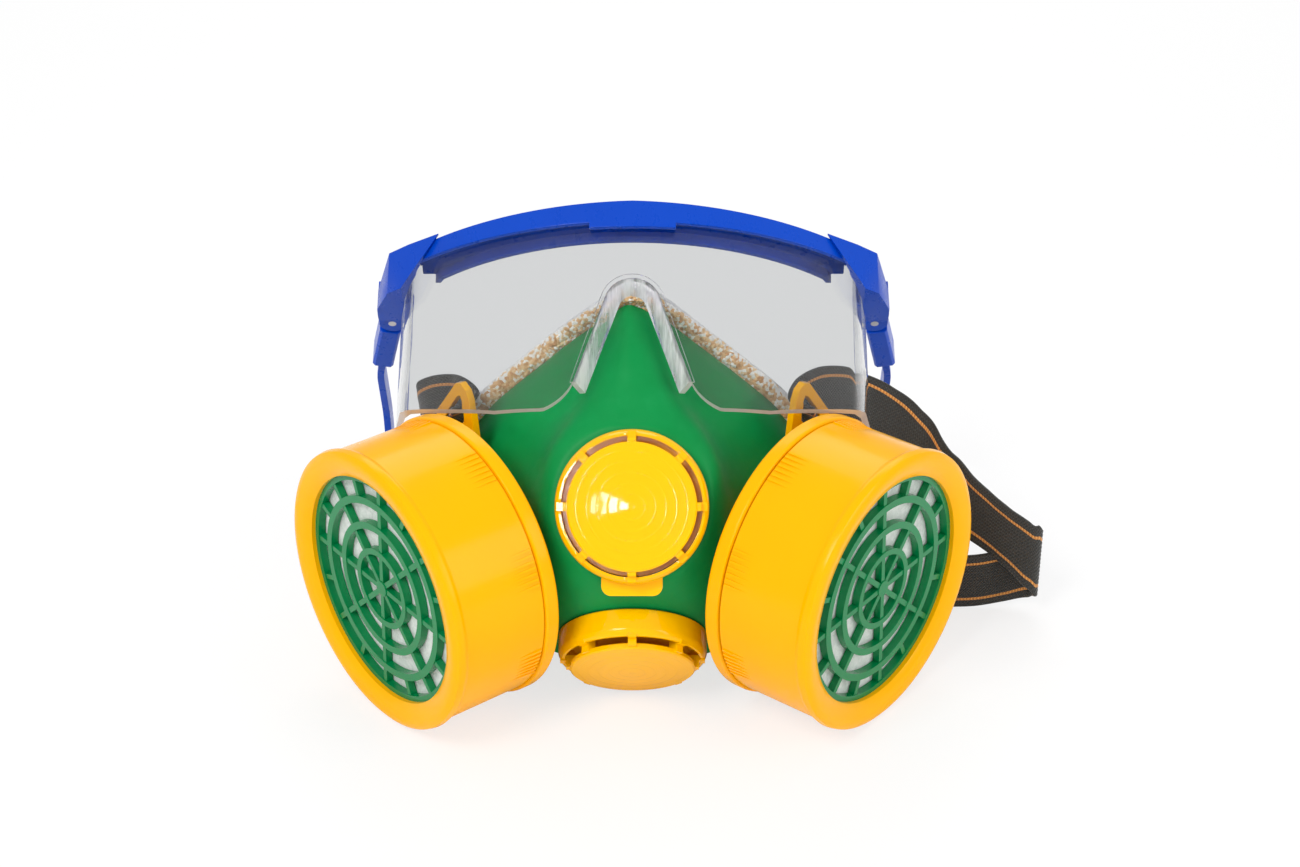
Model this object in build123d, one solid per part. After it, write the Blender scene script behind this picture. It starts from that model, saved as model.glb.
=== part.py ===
from build123d import *
import os
from math import cos, radians, sin, sqrt

# Respirator half mask with two cartridges and a pair of safety goggles laid over it.
# Millimetres. +X is the wearer's left-to-right width, -Y faces the viewer, +Z is up.
# The origin is on the table, under the middle of the mask.

# Cartridges
drum_azimuth = 51.2         # swing of a cartridge axis away from straight ahead, degrees
drum_radius = 44.5          # outside of the cap's skirt
rim_radius = 45.5           # rear rim and bezel lip, which lie on the table
grille_opening = 37.0       # radius of the window in the bezel
drum_depth = 38.0           # rear face to the front of the bezel
port_x = 50.0               # middle of a drum's rear face, across
port_y = 1.6                # and front to back
skirt_wall = 2.2
floor_wall = 2.2
rim_length = 5.0
cap_gap = 0.4               # between the rim and the end of the cap's skirt
collar_gap = 0.3            # cap over the housing's collar
collar_length = 11.0
port_bore = 11.0
port_wall = 2.0
neck_length = 9.5           # hub between the drum and the yoke plate
neck_radius = 18.0
bezel_thickness = 3.6
grip_ribs = 7               # ribs in one group
grip_groups = 8
grip_pitch = 2.4            # degrees between ribs
grip_height = 0.45
grip_length = 14.0

# Grille, pad and carbon
grille_thickness = 2.6
grille_rings = ((11.2, 13.2), (19.5, 21.8), (27.8, 30.2), (35.2, 38.6))
grille_hub = 2.6
spoke_width = 1.7
inner_spokes = 8
outer_spokes = 16
pad_thickness = 3.0
pack_gap = 0.3              # between the pieces stacked in a drum
carbon_radius = 40.0
carbon_skin = 1.2

# Yoke plate with the ears that hold the strap
yoke_thickness = 2.4
yoke_radius = 24.0
strap_width = 20.0
strap_thickness = 1.4

# Inhalation port
port_clearance = 0.15
nut_radius = 18.0
nut_thickness = 5.0
thread_clearance = 0.2
flap_thickness = 0.7
flap_travel = 1.2
pin_radius = 1.4
pin_clearance = 0.06

# Exhalation valves
valve_elevation = 30.0      # front valve axis above the horizontal
chin_depression = 35.0      # chin valve axis below it
front_valve_at = (0.0, -17.3, 73.7)
chin_valve_at = (0.0, -13.5, 24.4)
cover_radius = 23.1
cover_wall = 1.6
cover_height = 12.8
cover_ring_height = 8.8
cover_disc = 19.4
cover_disc_thickness = 2.0
cover_posts = 8
post_width = 2.6
tab_width = 18.4
tab_reach = 3.9
tab_thickness = 2.6
seat_clearance = 0.3
seat_bore = 12.5
seat_wall = 2.2
seat_flange = 2.0
seat_land = 1.2
diaphragm_radius = 15.2
diaphragm_thickness = 0.8
diaphragm_travel = 1.5
valve_boss = 22.6

# Facepiece
rubber_wall = 2.6
boss_depth = 14.0
liner_width = 7.0
liner_proud = 1.6

# Goggles
lens_tilt = 56.0            # lens leans this far back from upright
temple_slope = 62.0         # temples run down and back at this angle
goggles_at = (0.0, 49.0, 135.8)
lens_radius = 105.0
lens_wall = 2.2
lens_half = 71.0            # from the middle to the corner
lens_height = 62.6
shield_length = 15.0
shield_flare = 10.0         # degrees outward
nose_top = 19.5             # arch below the lens top
nose_half = 18.2            # half width of the cut-out at its foot
nose_arch_radius = 9.0
nose_foot = 8.0             # the foot's height above the lens's lowest edge
nose_flange = 5.5           # how far the nose rim stands back
nose_rim = 1.8              # its wall
nose_back_radius = 2.8      # the rim narrows to this arch
nose_draw = 4.6             # and draws in this much at each foot
brow_height = 7.6
brow_drop = 1.8             # how much lower the brow is at its ends
brow_skirt = 1.7
brow_depth = 12.0
brow_back = 40.0            # the brow's ends stop here, clear of the folding temples
lens_bite = 4.2             # how far the lens top reaches into the brow
lens_slot = 0.15
tab_half = 13.5
block_cap = 9.0             # the end block reaches this far in over the brow
block_start = lens_half - block_cap
block_gap = 0.1
block_back = 45.4           # just ahead of the knuckle
hinge_out = 8.0             # from the lens's corner out to the pin
hinge_at = (lens_half + hinge_out, 50.0, -3.0)   # pin, in the lens frame
pin_size = 1.3
hinge_clear = 0.06
knuckle_radius = 4.2
knuckle_half = 2.6          # half height of the sleeve's knuckle
knuckle_gap = 0.25
temple_height = 11.0
sleeve_thickness = 7.0
sleeve_length = 26.0
sleeve_splay = 12.0         # degrees outward
arm_thickness = 2.4
arm_height = 7.4
arm_overlap = 20.0
arm_reach = 66.0            # beyond the sleeve's mouth
arm_clear = 0.2
ear_length = 34.0
ear_drop = 9.0

# Head strap: middle of the band and its width direction, from the right ear to the left
strap_route = (
    ((59.4, 24.0, 78.1), (-0.376, -0.467, 0.8)), ((56.3, 26.5, 78.1), (-0.376, -0.467, 0.8)),
    ((53.0, 29.2, 78.1), (-0.376, -0.467, 0.8)), ((54.4, 37.0, 77.6), (-0.25, -0.1, 0.96)),
    ((62.0, 45.0, 76.0), (0.0, 0.5, 0.87)), ((72.5, 51.0, 71.5), (0.1, 0.75, 0.66)),
    ((82.0, 52.0, 65.0), (0.3, 0.65, 0.7)), ((90.5, 50.0, 56.5), (0.35, 0.4, 0.85)),
    ((98.5, 47.5, 46.5), (0.2, 0.2, 0.96)), ((104.5, 45.0, 41.5), (0.1, 0.1, 0.99)),
    ((110.8, 42.0, 36.4), (0.03, 0.0, 1.0)), ((116.0, 39.6, 33.0), (0.0, 0.0, 1.0)),
    ((121.0, 36.2, 30.0), (0.0, 0.0, 1.0)), ((125.5, 33.4, 27.2), (0.0, 0.0, 1.0)),
    ((129.4, 31.7, 24.3), (0.0, 0.0, 1.0)), ((132.2, 31.7, 22.1), (0.0, 0.0, 1.0)),
    ((133.2, 34.0, 19.9), (0.0, 0.0, 1.0)), ((132.0, 36.6, 17.6), (0.0, 0.0, 1.0)),
    ((128.6, 38.2, 15.0), (0.0, 0.0, 1.0)), ((123.0, 38.3, 12.5), (0.0, 0.0, 1.0)),
    ((114.0, 37.6, 10.8), (0.0, 0.0, 1.0)), ((102.0, 37.8, 10.4), (0.0, 0.0, 1.0)),
    ((90.0, 39.5, 10.4), (0.0, 0.0, 1.0)),
    ((80.0, 42.0, 10.4), (0.0, 0.0, 1.0)), ((56.0, 49.0, 10.4), (0.0, 0.0, 1.0)),
    ((28.0, 54.0, 10.4), (0.0, 0.0, 1.0)), ((0.0, 55.5, 10.4), (0.0, 0.0, 1.0)),
    ((-30.0, 54.5, 10.4), (0.0, 0.0, 1.0)), ((-52.0, 53.5, 12.5), (0.3, 0.0, 0.95)),
    ((-66.0, 52.0, 24.0), (0.8, 0.05, 0.6)), ((-72.0, 50.0, 42.0), (0.9, 0.42, 0.18)),
    ((-71.0, 47.5, 60.0), (0.36, 0.93, 0.1)), ((-64.5, 44.0, 72.0), (-0.46, 0.51, 0.72)),
    ((-55.5, 37.5, 77.0), (-0.06, 0.34, 0.94)), ((-53.0, 29.2, 78.1), (0.48, -0.1, 0.87)),
    ((-56.3, 26.5, 78.1), (0.376, -0.467, 0.8)), ((-59.4, 24.0, 78.1), (0.376, -0.467, 0.8)),
)

os.makedirs("parts", exist_ok=True)


# ---- shared frames ----

def drum_plane():
    """Frame of the right cartridge: z outward along its axis, x back and out, y up."""
    a = radians(drum_azimuth)
    return Plane(
        origin=(port_x, port_y, rim_radius),
        x_dir=(cos(a), sin(a), 0),
        z_dir=(sin(a), -cos(a), 0),
    )


def valve_plane(place, elevation):
    """Frame of an exhalation valve: z out of the mask, y up its face."""
    a = radians(elevation)
    return Plane(origin=place, x_dir=(1, 0, 0), z_dir=(0, -cos(a), sin(a)))


def leaning_plane(angle):
    """Frame at the middle of the lens top: y back, z up, leaning back by the angle."""
    a = radians(angle)
    return Plane(origin=goggles_at, x_dir=(1, 0, 0), z_dir=(0, sin(a), cos(a)))


DRUM = drum_plane()
FRONT_VALVE = valve_plane(front_valve_at, valve_elevation)
CHIN_VALVE = valve_plane(chin_valve_at, -chin_depression)
LENS = leaning_plane(lens_tilt)
TEMPLE = leaning_plane(temple_slope)
HINGE = Plane(LENS.from_local_coords(hinge_at), x_dir=(1, 0, 0), z_dir=TEMPLE.z_dir)
PORT_FACE = -neck_length - yoke_thickness
LENS_TO_HINGE = LENS.location.inverse() * HINGE.location
MASK = Plane(
    origin=(0, 0, 0),
    x_dir=(1, 0, 0),
    z_dir=(0, -cos(radians(valve_elevation)), sin(radians(valve_elevation))),
)


# ---- small helpers ----

def tube(outer, inner, low, high):
    """A ring or pipe about the z axis."""
    height = high - low
    ring = Cylinder(outer, height) - Cylinder(inner, height)
    return Pos(0, 0, low + height / 2) * ring


def disc(radius, low, high):
    return Pos(0, 0, low + (high - low) / 2) * Cylinder(radius, high - low)


def bar(x0, x1, y0, y1, z0, z1):
    """A box given by its limits."""
    box = Box(x1 - x0, y1 - y0, z1 - z0)
    return Pos((x0 + x1) / 2, (y0 + y1) / 2, (z0 + z1) / 2) * box


def turned(points):
    """A solid of revolution about z from (radius, height) points."""
    outline = Polyline(*[(r, 0, z) for r, z in points], close=True)
    return revolve(make_face(outline), Axis.Z)


def spokes(count, inner, outer, width, low, high, first=0.0):
    """Radial bars, evenly spaced."""
    arm = bar(inner, outer, -width / 2, width / 2, low, high)
    return [Rot(0, 0, first + 360 * i / count) * arm for i in range(count)]


def both_sides(name, part):
    """The right-hand piece and its mirror image."""
    save(name + "_right", part)
    save(name + "_left", mirror(part, about=Plane.YZ))


def save(name, part):
    solids = part.solids()
    out = solids[0] if len(solids) == 1 else Compound(solids)
    out.label = name
    export_step(out, "parts/" + name + ".step")


# ---- cartridges ----

def filter_housing():
    """Rear dish: floor, rolled rim, collar for the cap, neck, and port tube through the mask."""
    collar = drum_radius - skirt_wall - collar_gap
    tail = -PORT_FACE + rubber_wall + nut_thickness + 2
    tube_out = port_bore + port_wall
    body = turned([
        (port_bore, -tail), (tube_out, -tail), (tube_out, -neck_length),
        (neck_radius, -neck_length), (neck_radius, 0), (rim_radius - 0.8, 0), (rim_radius, 0.8),
        (rim_radius, rim_length - 0.5), (rim_radius - 0.5, rim_length), (collar, rim_length),
        (collar, rim_length + collar_length), (collar - 2, rim_length + collar_length),
        (collar - 2, floor_wall), (tube_out, floor_wall), (tube_out, floor_wall + 1.4),
        (port_bore, floor_wall + 1.4),
    ])
    for rib in spokes(8, port_bore + 6, collar - 4, 1.4, floor_wall, floor_wall + 1.4):
        body += rib
    return body


def stack():
    """Heights of the pieces inside a drum, from the housing floor to the bezel."""
    bezel = drum_depth - bezel_thickness
    grille = bezel - grille_thickness
    pad = grille - pack_gap - pad_thickness
    carbon = pad - pack_gap
    return bezel, grille, pad, carbon


def filter_cap():
    """Screwed-on drum cap: skirt, bezel with a rolled lip, and groups of grip ribs."""
    bezel = stack()[0]
    start = rim_length + cap_gap
    inner = drum_radius - skirt_wall
    body = turned([
        (inner, start), (drum_radius, start), (drum_radius, start + 2),
        (drum_radius, bezel - 1.5), (rim_radius - 0.3, bezel - 0.3), (rim_radius, bezel + 0.8),
        (rim_radius - 0.4, drum_depth - 1.1), (rim_radius - 1.6, drum_depth - 0.2),
        (rim_radius - 3.2, drum_depth), (grille_opening + 1.6, drum_depth - 1.0),
        (grille_opening, drum_depth - 2.2), (grille_opening, bezel), (inner, bezel),
    ])
    wedge = Polyline(
        (drum_radius - 0.4, 0, start + 0.3), (drum_radius + grip_height, 0, start + 0.3),
        (drum_radius + grip_height, 0, start + 2.5), (drum_radius - 0.4, 0, start + grip_length),
        close=True,
    )
    rib = Pos(0, -0.4, 0) * extrude(make_face(wedge), 0.8, dir=(0, 1, 0))
    for group in range(grip_groups):
        for i in range(grip_ribs):
            angle = 360 * (group + 0.5) / grip_groups + (i - (grip_ribs - 1) / 2) * grip_pitch
            body += Rot(0, 0, angle) * rib
    notch = Rot(0, 0, 15) * Pos(rim_radius, 0, drum_depth - 2) * Cylinder(1.6, 5)
    return body - notch


def grille():
    """Moulded web: hub, four rings, eight full spokes and sixteen in the outer band."""
    low = stack()[1]
    high = low + grille_thickness
    body = disc(grille_hub, low, high)
    third, outer_ring = grille_rings[2:]
    for inside, outside in grille_rings:
        body += tube(outside, inside, low, high)
    for arm in spokes(inner_spokes, 0.5, outer_ring[0] + 0.5, spoke_width, low,
                      high - 0.3, 2.0):
        body += arm
    for arm in spokes(outer_spokes - inner_spokes, third[1] - 0.5, outer_ring[0] + 0.5, spoke_width, low,
                      high - 0.3, 2.0 + 360 / outer_spokes):
        body += arm
    return body


def filter_pad():
    low = stack()[2]
    return disc(carbon_radius - 0.5, low, low + pad_thickness)


def carbon_cartridge():
    """Sealed carbon canister with rolled edges and a dished face at each end."""
    low = floor_wall + 1.4 + pack_gap
    high = stack()[3]
    lip = carbon_radius - 2.5
    return turned([
        (0, low + carbon_skin), (lip, low + carbon_skin), (lip, low), (carbon_radius - 1, low),
        (carbon_radius - 0.4, low + 1), (carbon_radius - 0.4, high - 1),
        (carbon_radius - 1, high), (lip, high), (lip, high - carbon_skin),
        (0, high - carbon_skin),
    ])


def strap_yoke():
    """Plate clamped between the drum's neck and the mask, with an ear loop for the strap."""
    hole = port_bore + port_wall + port_clearance
    ring = tube(yoke_radius, hole, PORT_FACE, -neck_length)
    outer = Polyline(
        (9, 20), (12.4, 44.5), (13.8, 47.6), (16.6, 49), (19.4, 47.8), (37.5, 24.6),
        (38, 21), (35.5, 17.5), (22, 6), close=True,
    )
    window = Polyline(
        (16.4, 42.6), (17.2, 44.2), (18.8, 43.2), (33.4, 24.2), (31.4, 21.6), (28.6, 22.2),
        (16.4, 36.0), close=True,
    )
    plate = make_face(outer) - make_face(window)
    ear = Pos(0, 0, PORT_FACE) * extrude(plate, yoke_thickness)
    return (ring + ear) - disc(hole, PORT_FACE - 5, 5)


def port_nut():
    """Castellated ring nut that clamps the drum to the rubber from inside."""
    high = PORT_FACE - rubber_wall
    low = high - nut_thickness
    body = tube(nut_radius, port_bore + port_wall + thread_clearance, low, high)
    for notch in spokes(6, nut_radius - 2.5, nut_radius + 1, 4, low - 1, low + 3):
        body -= notch
    return body


def inhalation_seat():
    """Spider pressed in the port tube that carries the flap."""
    low = -12.0
    body = tube(port_bore, port_bore - 2.4, low, low + 2)
    for arm in spokes(4, 1.0, port_bore - 2, 1.6, low, low + 1.6):
        body += arm
    body += disc(2.4, low, low + 1.6)
    body += disc(pin_radius, low - flap_thickness - flap_travel - 0.4, low)
    head = low - flap_thickness - flap_travel - 0.4
    return body + disc(pin_radius + 0.9, head - 1, head)


def inhalation_flap():
    """Thin rubber disc that lifts off its seat towards the wearer."""
    high = -12.05
    return tube(port_bore - 0.6, pin_radius + pin_clearance, high - flap_thickness, high)


# ---- exhalation valves ----

def valve_seat():
    """Flanged tube snapped in the rubber, with a spider, a land and a pin for the disc."""
    outer = seat_bore + seat_wall
    flange = cover_radius - cover_wall - seat_clearance
    back = -rubber_wall - 1.6
    body = turned([
        (seat_bore, back - 2.4), (outer, back - 2.4), (outer + 2, back - 1.2), (outer + 2, back),
        (outer, back), (outer, 0), (flange, 0), (flange, seat_flange), (outer, seat_flange),
        (outer, seat_flange + seat_land), (seat_bore, seat_flange + seat_land),
    ])
    top = seat_flange + seat_land
    for arm in spokes(4, 1.0, seat_bore + 0.5, 1.6, 0, seat_flange, 45):
        body += arm
    body += disc(3.0, 0, seat_flange)
    body += disc(pin_radius, seat_flange, top + 3.0)
    body += disc(pin_radius + 1.0, top + 3.0, top + 4.0)
    return body


def valve_diaphragm():
    low = seat_flange + seat_land + 0.05
    return tube(diaphragm_radius, pin_radius + pin_clearance, low, low + diaphragm_thickness)


def valve_cover():
    """Snap-on cover: rolled ring, raised disc on eight posts over the vents, and a pry tab."""
    inner = cover_radius - cover_wall
    ring = turned([
        (inner, 0.3), (cover_radius - 0.4, 0.3), (cover_radius, 0.7),
        (cover_radius, cover_ring_height - 2.2), (cover_radius - 0.5, cover_ring_height - 0.8),
        (cover_radius - 1.2, cover_ring_height), (inner - 0.4, cover_ring_height),
        (inner - 0.4, cover_ring_height - 1.4), (inner, cover_ring_height - 1.8),
    ])
    low = cover_height - cover_disc_thickness - 0.8
    plate = turned([
        (0, low), (cover_disc - 0.4, low), (cover_disc, low + 0.4),
        (cover_disc, low + cover_disc_thickness - 0.4),
        (cover_disc - 0.5, low + cover_disc_thickness), (cover_disc * 0.6, cover_height - 0.35),
        (0, cover_height),
    ])
    body = ring + plate
    for post in spokes(cover_posts, cover_disc - 2.2, cover_radius - 0.6, post_width,
                       cover_ring_height - 1.4, cover_ring_height + 0.5):
        body += post
    for web in spokes(cover_posts, cover_disc - 2.2, cover_disc + 1.2, post_width,
                      cover_ring_height - 1.4, low + cover_disc_thickness - 0.6):
        body += web
    tab = bar(-tab_width / 2, tab_width / 2, -cover_radius - tab_reach, -inner + 6, 0.3,
              0.3 + tab_thickness)
    tab = fillet(tab.edges().filter_by(Axis.Z).sort_by(Axis.Y)[:2], 3.0)
    tab -= disc(inner + 0.4, -1, cover_height)
    return body + tab


# ---- facepiece ----

# Half outlines, right side, from nose to chin, as (across, up the face), at each station.
mask_halves = (
    (-34.0, ((0, 121.5), (6, 117.6), (17, 109), (32, 99), (46, 88), (56, 74), (57, 58), (50, 36),
             (31, 23), (0, 20.5))),
    (-12.0, ((0, 121.5), (6, 117.6), (17, 109), (31, 99.5), (45.5, 88), (55, 74), (57, 58),
             (49, 30), (30, 13), (0, 8))),
    (4.0, ((0, 121.5), (6, 117), (16, 108.5), (29.5, 98.5), (43.5, 86.5), (52.5, 72), (53.5, 56),
           (46, 27), (27, 8), (0, 4))),
    (18.0, ((0, 120), (6.5, 116), (15.5, 108), (26.5, 97), (37.5, 83), (44.5, 68), (46, 54),
            (40, 26), (24, 10), (0, 7.5))),
    (32.0, ((0, 113), (5.5, 108.5), (12, 99.5), (20.5, 88), (29.5, 75), (35, 63), (36, 52),
            (32, 29), (19, 17), (0, 15.5))),
    (43.0, ((0, 95), (5.5, 93), (13, 87), (20.5, 79.5), (26.5, 70), (29.5, 60), (30, 51),
            (27, 36), (16, 26), (0, 23.5))),
    (51.8, ((0, 79.5), (6.5, 78.8), (13, 76), (18.6, 71.4), (22.8, 64.5), (24.5, 57), (24.2, 51),
            (20.5, 42), (12, 34), (0, 30.8))),
)


def mask_section(station, points, grow):
    """Closed smooth curve at one station along the mask's forward axis."""
    middle = points[0][1] * 0.5 + points[-1][1] * 0.5
    right = []
    for x, u in points:
        length = sqrt(x * x + (u - middle) ** 2)
        share = (length + grow) / length
        right.append((x * share, middle + (u - middle) * share))
    left = [(-x, u) for x, u in reversed(right[1:-1])]
    curve = Spline(*(right + left), periodic=True)
    plane = Plane(MASK.from_local_coords((0, 0, station)), x_dir=(1, 0, 0), z_dir=MASK.z_dir)
    return plane.location * make_face(curve)


def mask_solid(grow, front_shift, back_shift=0.0):
    """Loft through the stations, swollen by grow, with its two ends moved."""
    shifts = [back_shift] + [0.0] * (len(mask_halves) - 2) + [front_shift]
    return loft([
        mask_section(depth + shift, points, grow)
        for (depth, points), shift in zip(mask_halves, shifts)
    ])


def rim_cutter(shift):
    """Everything behind the rim's side profile, moved back by shift."""
    rim = [(y + shift, z) for y, z in ((34, 118), (41.5, 92), (41, 62), (37, 34), (27, 12), (15, 1))]
    edge = Spline(*[(0, y, z) for y, z in rim])
    start, end = rim[0], rim[-1]
    outline = [
        edge,
        Line((0, *end), (0, end[0] - 4, -40)),
        Line((0, end[0] - 4, -40), (0, 160, -40)),
        Line((0, 160, -40), (0, 160, 190)),
        Line((0, 160, 190), (0, start[0] - 10, 190)),
        Line((0, start[0] - 10, 190), (0, *start)),
    ]
    return Pos(-90, 0, 0) * extrude(make_face(Wire(outline)), 180, dir=(1, 0, 0))


def both(part):
    """A part in the right drum's frame and its mirror image, in the mask's frame."""
    right = DRUM.location * part
    return [right, mirror(right, about=Plane.YZ)]


def facepiece():
    """Rubber half mask: hollow body with thick bosses at its four ports."""
    outer = mask_solid(0, 0)
    for boss in both(disc(yoke_radius, PORT_FACE - boss_depth, PORT_FACE)):
        outer += boss
    outer += FRONT_VALVE.location * disc(valve_boss, -boss_depth, 0)
    outer += CHIN_VALVE.location * disc(valve_boss, -boss_depth, 0)
    outer -= rim_cutter(0)
    for plane in (FRONT_VALVE, CHIN_VALVE):
        outer -= plane.location * disc(cover_radius + 6, 0, 40)
    for room in both(disc(yoke_radius + 1, PORT_FACE, 40) + disc(rim_radius + 1, -1.5, 40)):
        outer -= room
    cavity = mask_solid(-rubber_wall, -rubber_wall - 1.6, -4)
    for pocket in both(disc(nut_radius + 1.5, PORT_FACE - 30, PORT_FACE - rubber_wall)):
        cavity += pocket
    wide = seat_bore + seat_wall + 4
    cavity += FRONT_VALVE.location * disc(wide, -24, -rubber_wall - 1.6)
    cavity += CHIN_VALVE.location * disc(wide, -20, -rubber_wall - 1.6)
    body = outer - cavity
    for hole in both(disc(port_bore + port_wall + port_clearance, -50, 10)):
        body -= hole
    valve = disc(seat_bore + seat_wall + port_clearance, -10, 1)
    body -= FRONT_VALVE.location * valve
    body -= CHIN_VALVE.location * valve
    return body - bar(-100, 100, -100, 100, -50, 0.4)


def face_seal_liner():
    """Knitted roll round the rim that lies against the skin."""
    band = rim_cutter(0) - rim_cutter(liner_width)
    hollow = mask_solid(-rubber_wall - liner_proud, -rubber_wall, -4)
    roll = (mask_solid(liner_proud, 0) - hollow) & band
    under = bar(-100, 100, -100, 100, -50, 0)
    return Part() + roll.solids() - under


# ---- goggles ----

def lens_plan(offset_in, offset_out):
    """Plan of the wrapped lens and its side shields between two offsets from the front."""
    def track(inset):
        radius = lens_radius - inset
        half = lens_half - inset * 0.7
        back = lens_radius - sqrt(radius ** 2 - half ** 2)
        a = radians(90 - shield_flare)
        tip = (half + 2.2 + (shield_length) * cos(a), back + 4.5 + shield_length * sin(a))
        return radius, half, back, tip

    r0, h0, b0, t0 = track(offset_out)
    r1, h1, b1, t1 = track(offset_in)
    outer = ThreePointArc((-h0, b0), (0, offset_out), (h0, b0))
    inner = ThreePointArc((h1, b1), (0, offset_in), (-h1, b1))
    a = radians(90 - shield_flare)
    knee0 = (t0[0] - shield_length * cos(a), t0[1] - shield_length * sin(a))
    knee1 = (t1[0] - shield_length * cos(a), t1[1] - shield_length * sin(a))
    edges = [
        outer, Line((h0, b0), knee0), Line(knee0, t0), Line(t0, (t1[0], t0[1])),
        Line((t1[0], t0[1]), knee1), Line(knee1, (h1, b1)), inner,
        Line((-h1, b1), (-knee1[0], knee1[1])), Line((-knee1[0], knee1[1]), (-t1[0], t0[1])),
        Line((-t1[0], t0[1]), (-t0[0], t0[1])), Line((-t0[0], t0[1]), (-knee0[0], knee0[1])),
        Line((-knee0[0], knee0[1]), (-h0, b0)),
    ]
    return make_face(Wire(edges))


def goggle_lens():
    """One wrapped polycarbonate lens with side shields and a thick nose rim."""
    shell = extrude(lens_plan(lens_wall, 0), lens_height + 30, dir=(0, 0, 1))
    shell = Pos(0, 0, -lens_height - 20) * shell
    foot = Polyline(
        (-100, 0, -100), (-100, 0, -lens_height + 33), (-71.5, 0, -lens_height + 11.8),
        (-58, 0, -lens_height + 6.8), (-42, 0, -lens_height + 2.0), (-28, 0, -lens_height + 0.4),
        (28, 0, -lens_height + 0.4), (42, 0, -lens_height + 2.0), (58, 0, -lens_height + 6.8),
        (71.5, 0, -lens_height + 11.8), (100, 0, -lens_height + 33), (100, 0, -100), close=True,
    )
    below = extrude(make_face(foot), 100, dir=(0, 1, 0), both=True)
    above = bar(-100, 100, -50, 100, lens_bite, 40)
    nose = nose_opening(0)
    lens = shell - below - above - nose
    depth = lens_wall + nose_flange
    zone = extrude(lens_plan(depth, -0.4), lens_height + 30, dir=(0, 0, 1))
    zone = Pos(0, 0, -lens_height - 20) * zone
    feet = bar(-100, 100, -50, 100, -200, -lens_height + nose_foot)
    rim = (nose_funnel(nose_rim, depth) - nose_funnel(0, depth)) & zone
    return lens + (rim - feet)


def nose_opening(grow):
    """Prism through the lens for the nose: a round arch on flared legs with swept feet."""
    r = nose_arch_radius + grow
    top = -nose_top + grow
    foot = nose_half + grow
    bend = -lens_height + nose_foot
    centre = -nose_top - nose_arch_radius
    side = (r * 0.94, centre + r * 0.34)
    wide = foot + 11
    low = bend - 8.2
    outline = [
        ThreePointArc((-side[0], 0, side[1]), (0, 0, top), (side[0], 0, side[1])),
        Line((side[0], 0, side[1]), (foot, 0, bend)),
        ThreePointArc((foot, 0, bend), (foot + 3.4, 0, bend - 4.6), (wide, 0, low)),
        Line((wide, 0, low), (wide, 0, -lens_height - 12)),
        Line((wide, 0, -lens_height - 12), (-wide, 0, -lens_height - 12)),
        Line((-wide, 0, -lens_height - 12), (-wide, 0, low)),
        ThreePointArc((-wide, 0, low), (-foot - 3.4, 0, bend - 4.6), (-foot, 0, bend)),
        Line((-foot, 0, bend), (-side[0], 0, side[1])),
    ]
    return extrude(make_face(Wire(outline)), 60, dir=(0, 1, 0), both=True)


def nose_funnel(grow, depth):
    """Arch-shaped core of the nose rim, which narrows towards the wearer."""
    def arch(y, radius, top, foot):
        side = (radius * 0.94, top - radius * 0.66)
        low = -lens_height + nose_foot - 4
        slope = (foot - side[0]) / (side[1] + lens_height - nose_foot)
        wide = foot + slope * 4
        return make_face(Wire([
            ThreePointArc((-side[0], y, side[1]), (0, y, top), (side[0], y, side[1])),
            Line((side[0], y, side[1]), (wide, y, low)), Line((wide, y, low), (-wide, y, low)),
            Line((-wide, y, low), (-side[0], y, side[1])),
        ]))

    return loft([
        arch(-1.5, nose_arch_radius + grow, -nose_top + grow, nose_half + grow),
        arch(depth + 3, nose_back_radius + grow, -nose_top - 2.6 + grow,
             nose_half - nose_draw + grow),
    ], ruled=True)


def lens_band(offset_in, offset_out, low, high):
    """Part of the lens's wrapped plan, between two heights."""
    plan = lens_plan(offset_in, offset_out)
    return Pos(0, 0, low) * extrude(plan, high - low, dir=(0, 0, 1))


def lens_core(grow, low, high):
    """Everything inside the lens's outer face, with a gap, between two heights."""
    band = lens_plan(lens_wall, -grow)
    tip = max(band.vertices(), key=lambda v: v.X)
    back = max(v.Y for v in band.vertices()) + grow
    fill = Polyline((-tip.X, back), (tip.X, back), (lens_half - 2, 24), (lens_half - 8, 19),
                    (0, 0.5), (-lens_half + 8, 19), (-lens_half + 2, 24), close=True)
    plan = band + make_face(fill)
    return Pos(0, 0, low) * extrude(plan, high - low, dir=(0, 0, 1))


def brow_envelope(gap):
    """The brow bar's wrapped section as one solid, with a gap round it."""
    limit = lens_half - 3 + gap
    band = lens_band(lens_wall + brow_depth + gap, -lens_slot - brow_skirt - gap,
                     -brow_drop - gap, brow_height + gap)
    return band & bar(-limit, limit, -30, brow_back + gap, -20, 20)


def brow_bar():
    """Blue bar over the lens: front skirt, deck and rear lip, with the lens let in between."""
    front = -lens_slot
    body = lens_band(front, front - brow_skirt, 0, brow_height)
    body += lens_band(lens_wall + brow_depth, front - brow_skirt, lens_bite + lens_slot,
                      brow_height)
    body += lens_band(lens_wall + brow_depth, lens_wall + brow_depth - 1.8, 1.0, brow_height)
    body += lens_band(lens_wall + lens_slot + 1.4, lens_wall + lens_slot, 1.5, brow_height)
    body += lens_band(front, front - brow_skirt, -brow_drop, 1) & bar(
        -tab_half, tab_half, -20, 20, -brow_drop, 1)
    low = brow_height - brow_drop
    cut = Polyline(
        (-120, 0, 60), (-120, 0, low - brow_drop), (-block_start, 0, low),
        (0, 0, brow_height), (block_start, 0, low), (120, 0, low - brow_drop), (120, 0, 60),
        close=True,
    )
    body -= Pos(0, -100, 0) * extrude(make_face(cut), 200, dir=(0, 1, 0))
    limit = lens_half - 3
    return body & bar(-limit, limit, -30, brow_back, -20, 20)


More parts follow.
